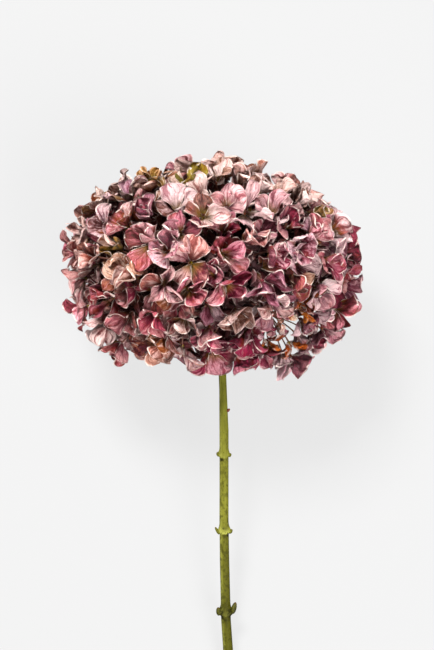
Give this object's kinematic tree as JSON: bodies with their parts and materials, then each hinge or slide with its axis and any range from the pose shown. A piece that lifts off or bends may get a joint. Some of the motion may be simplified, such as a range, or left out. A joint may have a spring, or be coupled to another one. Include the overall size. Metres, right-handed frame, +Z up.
{
  "type": "dried hydrangea",
  "caption": "Dried mophead hydrangea with rosy, tan and olive papery florets in a broad dome, on a bare green cut stem, lying down.",
  "frame": {"origin": "centre of the part's box at the level of the table it lies on", "axes": "+Y from the stem's cut end to the flower head, +Z up from the table, +X to the picture's right"},
  "size_m": [0.1888, 0.3224, 0.1639],
  "materials": {
    "stem": "satin",
    "spray_top": "matte",
    "spray_upper_1": "matte",
    "spray_upper_2": "matte",
    "spray_upper_3": "matte",
    "spray_upper_4": "matte",
    "spray_lower_1": "matte",
    "spray_lower_2": "matte",
    "spray_lower_3": "matte",
    "spray_lower_4": "matte",
    "spray_lower_5": "matte",
    "spray_lower_6": "matte"
  },
  "bodies": {
    "root": {"stem": "stem", "spray_top": "spray_top", "spray_upper_1": "spray_upper_1", "spray_upper_2": "spray_upper_2", "spray_upper_3": "spray_upper_3", "spray_upper_4": "spray_upper_4", "spray_lower_1": "spray_lower_1", "spray_lower_2": "spray_lower_2", "spray_lower_3": "spray_lower_3", "spray_lower_4": "spray_lower_4", "spray_lower_5": "spray_lower_5", "spray_lower_6": "spray_lower_6"}
  },
  "joints": []
}
